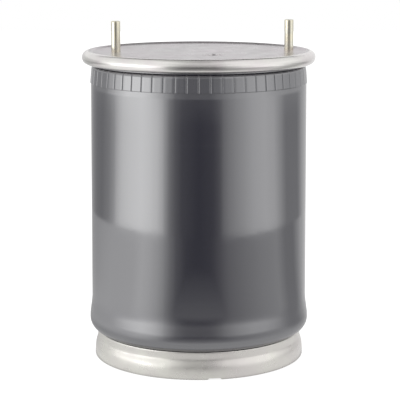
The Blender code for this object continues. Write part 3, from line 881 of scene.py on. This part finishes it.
def makeCentreBolt():
    b = bolt
    low, high = headZ, headZ + b["headHeight"]
    face = b["flats"] / 2 * b["faceShare"]
    end = centreNutZ - b["out"]

    def sectionAt(angle):
        corner = hexRadius(b["flats"], angle)
        edgeZ = high - b["headEdge"]
        points = [(0.0, high), (face - b["faceInset"], high), (face, edgeZ)]
        points += [(corner, edgeZ - cornerDrop(corner, face)), (corner, low + b["headStep"])]
        points += [(face, low + b["headStep"]), (face, low)]
        for i in range(b["rows"] + 1):
            z = low - (low - end) * i / b["rows"]
            wave = threadWave(z, b["pitch"], angle) * b["thread"]
            runOut = max(0.0, min(1.0, (washerZ + b["threadStart"] - z) / b["threadRunOut"]))
            points.append((b["radius"] - wave * runOut - max(0.0, b["tip"] - (z - end)), z))
        return points + [(0.0, end)]

    piece = newPiece("centreBolt", turnedMesh("centreBolt", sectionAt, evenAngles(96)))
    shadeSmooth(piece, 32)
    finishPiece(piece, finishes["studZinc"], "piston", ["centre_bolt"])


bumpStop = {
    "height": 0.058,
    "foot": 0.046,
    "footHeight": 0.010,
    "footEdge": 0.0015,
    "footEdgeDrop": 0.002,      # from the foot's top to the centre of that edge
    "footInset": 0.001,         # where the waist ends inside the foot
    "footChamfer": (0.0006, 0.001),
    "waist": 0.037,
    "top": 0.035,
    "round": 0.008,
    "well": 0.014,              # bore that the bolt's head sits in
    "wellEdge": 0.0015,
    "pocket": 0.0246,           # recess for the insert
    "seam": 0.00025,            # parting lines where the halves of the mould met
    "seamSharpness": 40,
    "seamInside": 0.03,         # the lines show outside this radius and above this height
    "seamLow": 0.002,
    "steps": 12,                # rows down each half of the waist
}


def makeBumpStop():
    b = bumpStop
    low = clampTopZ + gap
    high, footZ = low + b["height"], low + b["footHeight"]
    roundZ, waistZ = high - b["round"], low + 2 * b["footHeight"]
    section = arcPoints(b["well"] + b["wellEdge"], high - b["wellEdge"], b["wellEdge"], 180, 90, 6)
    section += arcPoints(b["top"] - b["round"], roundZ, b["round"], 90, 0, 14)
    shares = [i / b["steps"] for i in range(b["steps"])]
    for share in shares[1:]:
        section.append((between(b["top"], b["waist"], smoothStep(share)), between(roundZ, waistZ, share)))
    for share in shares:
        radius = between(b["waist"], b["foot"] - b["footInset"], smoothStep(share))
        section.append((radius, between(waistZ, footZ, share)))
    section += arcPoints(b["foot"] - b["footEdge"], footZ - b["footEdgeDrop"], b["footEdge"], 60, 0, 5)
    inset, rise = b["footChamfer"]
    section += [(b["foot"], low + rise), (b["foot"] - inset, low), (b["pocket"], low)]
    section += [(b["pocket"], headZ), (b["well"], headZ)]

    def sectionAt(angle):
        lift = b["seam"] * math.exp(-((math.sin(angle) * b["seamSharpness"]) ** 2))
        moved = []
        for radius, z in section:
            outside = radius > b["seamInside"] and z > low + b["seamLow"]
            moved.append((radius + lift if outside else radius, z))
        return moved

    piece = newPiece("bumpStop", turnedMesh("bumpStop", sectionAt, evenAngles(192)))
    shadeSmooth(piece, 50)
    finishPiece(piece, finishes["bufferRubber"], "piston", ["bump_stop"])


clampPlate = {
    "rings": (0.0067, 0.03, 0.06, 0.09),   # radii of the hole and of the rows across the flat part
    "rimEnd": 15,               # direction, from the lower bead's centre, where the rim over the bead ends
}


def makeClampPlate():
    b = lowerBead
    path = [(radius, clampTopZ) for radius in clampPlate["rings"]]
    outer = b["radius"] + gap + stack["clampPlate"]
    path += arcPoints(b["x"], b["z"], outer, 90, clampPlate["rimEnd"], 18)
    section = thickened(path, stack["clampPlate"])
    piece = newPiece("beadClampPlate", turnedMesh("beadClampPlate", lambda angle: section, evenAngles(240)))
    shadeSmooth(piece, 40)
    finishPiece(piece, finishes["phosphatedSteel"], "piston", ["bead_clamp_plate"])


makePistonShell()
makeBasePlate()
for number, place in enumerate(nutPlaces(), 1):
    makeNut(
        f"baseNut{number}", nuts["baseNut"], basePlate["thickness"] + gap, place,
        "phosphatedSteel", f"base_nut_{number}",
    )
makeNut("centreNut", nuts["centreNut"], centreNutZ, (0.0, 0.0), "studZinc", "centre_nut")
makeCentreBolt()
makeBumpStop()
makeClampPlate()

# nodes that are shown as the frame has them, with a finish
keptNodes = {
    "upper_bead_core": "bronzedWire",
    "lower_bead_core": "bronzedWire",
    "bump_stop_insert": "phosphatedSteel",
    "bolt_seal_ring": "sealRubber",
    "centre_washer": "studZinc",
}
for name, finish in keptNodes.items():
    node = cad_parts[name]
    node.data.materials.clear()
    node.data.materials.append(finishes[finish])
print("piston and inner pieces made")


studio = {
    "floorColour": (0.55, 0.55, 0.55),
    "floorHalf": 6.0,
    "floorZ": -0.0002,
    "floorGlow": 0.78,          # lifts the floor to white for the camera
    "fill": 0.8,                # world light on the object
    "backdrop": 1.0,            # world as the camera sees it
    # distances on the floor from the object's axis, where one light level, as reflections see it, gives way
    # to the next
    "footEdge": (0.1395, 0.145),
    "nearEdge": (0.25, 0.38),
    "tableEdge": (1.055, 1.075),
    "lowEdge": (2.8, 5.0),
    "footShade": 0.6,           # how much of the near light the floor right along the foot has
    "frontLight": (0.40, 0.80, 0.32, 0.09),   # least level of the table: two distances and the level at each
    "overhead": 0.42,
    # what reflections see round the object: degrees from the camera's side, level
    "nearRing": [
        (-180, 0.55), (-125, 0.6), (-95, 0.75), (-60, 0.95), (-20, 0.84), (0, 0.80), (20, 0.84), (60, 0.92),
        (120, 0.85), (180, 0.55),
    ],
    "tableRing": [
        (-180, 1.1), (-150, 0.6), (-128, 0.8), (-112, 1.02), (-98, 1.16), (-67, 1.28), (-57, 1.44),
        (-49, 1.34), (-40, 1.11), (-34, 0.85), (-28, 0.51), (-22, 0.27), (-13, 0.12), (0, 0.08), (13, 0.12),
        (21, 0.24), (29, 0.38), (45, 0.53), (63, 0.67), (84, 0.76), (97, 0.50), (112, 0.45), (131, 0.87),
        (180, 1.1),
    ],
    "edgeRing": [
        (-180, 1.0), (-150, 0.57), (-134, 0.44), (-120, 0.45), (-106, 0.67), (-98, 0.99), (-92, 1.51),
        (-86, 1.88), (-75, 2.16), (-60, 2.36), (-51, 2.20), (-42, 1.89), (-36, 1.35), (-30, 0.62),
        (-25, 0.35), (-17, 0.16), (0, 0.08), (14, 0.12), (20, 0.22), (26, 0.51), (31, 0.68), (43, 0.97),
        (57, 1.28), (71, 1.40), (84, 1.26), (94, 0.84), (102, 0.54), (125, 0.48), (140, 0.90), (180, 1.0),
    ],
    "lowRing": [
        (-180, 0.9), (-140, 0.6), (-115, 0.75), (-98, 1.6), (-80, 2.5), (-60, 2.5), (-48, 2.0), (-36, 1.25),
        (-24, 0.5), (-12, 0.34), (12, 0.34), (24, 0.6), (40, 1.0), (57, 1.3), (72, 1.4), (90, 1.1),
        (110, 0.9), (140, 0.9), (180, 1.0),
    ],
    "highRing": [
        (-180, 1.0), (-120, 1.0), (-95, 1.25), (-35, 1.25), (-15, 0.5), (15, 0.5), (32, 1.2), (60, 1.25),
        (100, 1.2), (125, 1.0), (180, 1.0),
    ],
    "ceilingRing": [
        (-180, 0.05), (-168, 0.08), (-152, 0.6), (-135, 1.0), (-90, 1.1), (-45, 1.2), (-20, 0.75), (0, 0.65),
        (20, 0.75), (45, 1.2), (90, 1.1), (135, 1.0), (152, 0.6), (168, 0.08), (180, 0.05),
    ],
    "crownRing": [
        (-180, 0.40), (-174, 0.45), (-164, 0.95), (-90, 1.1), (-45, 1.2), (-20, 0.75), (0, 0.65),
        (20, 0.75), (45, 1.2), (90, 1.1), (164, 0.95), (174, 0.45), (180, 0.40),
    ],
    # the sky starts as lowRing; each ring takes over between two heights of the direction, 1 straight up
    "skySteps": ((0.08, 0.20, "highRing"), (0.42, 0.52, "ceilingRing"), (0.83, 0.90, "crownRing")),
    "overheadStep": (0.93, 0.99),
}

camera = {
    "lens": 136.2,
    "sensor": 36.0,
    "place": (0.0016, -1.961, 0.565),
    "tilt": 79.58,
}


def blendLevels(tree, share, first, second):
    # first where the share is 0, second where it is 1
    change = addMath(tree, "MULTIPLY", share, addMath(tree, "SUBTRACT", second, first))
    return addMath(tree, "ADD", first, change)


def ringAngle(tree, split):
    # direction round the object, 0 on the camera's side
    return addMath(tree, "ARCTAN2", split.outputs["X"], addMath(tree, "MULTIPLY", split.outputs["Y"], -1.0))


def ringLevel(tree, angle, ring):
    # light level by direction round the object
    stops = studio[ring]
    peak = max(level for _, level in stops)
    place = mapRange(tree, angle, -math.pi, math.pi, 0.0, 1.0)
    ramp = addNode(tree, "ShaderNodeValToRGB", links={"Fac": place})
    elements = ramp.color_ramp.elements
    elements.remove(elements[1])
    for i, (degrees, level) in enumerate(stops):
        element = elements.new((degrees + 180) / 360) if i else elements[0]
        element.color = (level / peak, level / peak, level / peak, 1.0)
    return addMath(tree, "MULTIPLY", ramp.outputs["Color"], peak)


def makeFloor():
    mesh = bpy.data.meshes.new("floor")
    half, z = studio["floorHalf"], studio["floorZ"]
    corners = [(-half, -half, z), (half, -half, z), (half, half, z), (-half, half, z)]
    mesh.from_pydata(corners, [], [(0, 1, 2, 3)])
    floor = newPiece("floor", mesh)
    material, tree, shader = newMaterial("paleFloor")
    shader.inputs["Base Color"].default_value = (*studio["floorColour"], 1.0)
    shader.inputs["Roughness"].default_value = 0.9
    shader.inputs["Specular IOR Level"].default_value = 0.0
    shader.inputs["Emission Color"].default_value = (1.0, 1.0, 1.0, 1.0)
    path = addNode(tree, "ShaderNodeLightPath")
    glow = addMath(tree, "MULTIPLY", path.outputs["Is Camera Ray"], studio["floorGlow"])
    tree.links.new(glow, shader.inputs["Emission Strength"])

    point = addNode(tree, "ShaderNodeTexCoord").outputs["Object"]
    split = addNode(tree, "ShaderNodeSeparateXYZ", links={"Vector": point})
    reach = addNode(tree, "ShaderNodeVectorMath", {"operation": "LENGTH"}, {0: point}).outputs["Value"]
    angle = ringAngle(tree, split)

    def shareAlong(edge):
        return mapRange(tree, reach, *studio[edge], 0.0, 1.0)

    shade = mapRange(tree, reach, *studio["footEdge"], studio["footShade"], 1.0)
    near = addMath(tree, "MULTIPLY", ringLevel(tree, angle, "nearRing"), shade)
    front = mapRange(tree, reach, *studio["frontLight"])
    table = addMath(tree, "MAXIMUM", ringLevel(tree, angle, "tableRing"), front)
    table = blendLevels(tree, shareAlong("nearEdge"), near, table)
    beyond = ringLevel(tree, angle, "edgeRing")
    beyond = blendLevels(tree, shareAlong("lowEdge"), beyond, ringLevel(tree, angle, "lowRing"))
    level = blendLevels(tree, shareAlong("tableEdge"), table, beyond)
    reflected = addNode(tree, "ShaderNodeEmission", links={"Strength": level})
    both = addNode(tree, "ShaderNodeMixShader", links={
        0: path.outputs["Is Glossy Ray"], 1: shader.outputs[0], 2: reflected.outputs[0],
    })
    tree.links.new(both.outputs[0], tree.nodes["Material Output"].inputs["Surface"])
    floor.data.materials.append(material)


def makeWorld():
    world = bpy.data.worlds.new("studio")
    bpy.context.scene.world = world
    world.use_nodes = True
    tree = world.node_tree
    back = tree.nodes["Background"]
    back.inputs["Color"].default_value = (1.0, 1.0, 1.0, 1.0)
    path = addNode(tree, "ShaderNodeLightPath")
    direction = addNode(tree, "ShaderNodeTexCoord").outputs["Generated"]
    split = addNode(tree, "ShaderNodeSeparateXYZ", links={0: direction})
    angle = ringAngle(tree, split)
    level = ringLevel(tree, angle, "lowRing")
    for start, end, ring in studio["skySteps"]:
        share = mapRange(tree, split.outputs["Z"], start, end, 0.0, 1.0)
        level = blendLevels(tree, share, level, ringLevel(tree, angle, ring))
    share = mapRange(tree, split.outputs["Z"], *studio["overheadStep"], 0.0, 1.0)
    level = blendLevels(tree, share, level, studio["overhead"])
    glossy, through = path.outputs["Is Glossy Ray"], path.outputs["Is Transmission Ray"]
    mirrored = addMath(tree, "ADD", glossy, through, clamp=True)
    strength = blendLevels(tree, mirrored, studio["fill"], level)
    strength = blendLevels(tree, path.outputs["Is Camera Ray"], strength, studio["backdrop"])
    tree.links.new(strength, back.inputs["Strength"])


def makeCamera():
    data = bpy.data.cameras.new("camera")
    data.lens, data.sensor_width = camera["lens"], camera["sensor"]
    eye = bpy.data.objects.new("camera", data)
    eye.location = camera["place"]
    eye.rotation_euler = (math.radians(camera["tilt"]), 0.0, 0.0)
    bpy.context.scene.collection.objects.link(eye)
    bpy.context.scene.camera = eye


makeFloor()
makeWorld()
makeCamera()
bpy.context.scene.view_settings.view_transform = "Standard"
print("studio made")
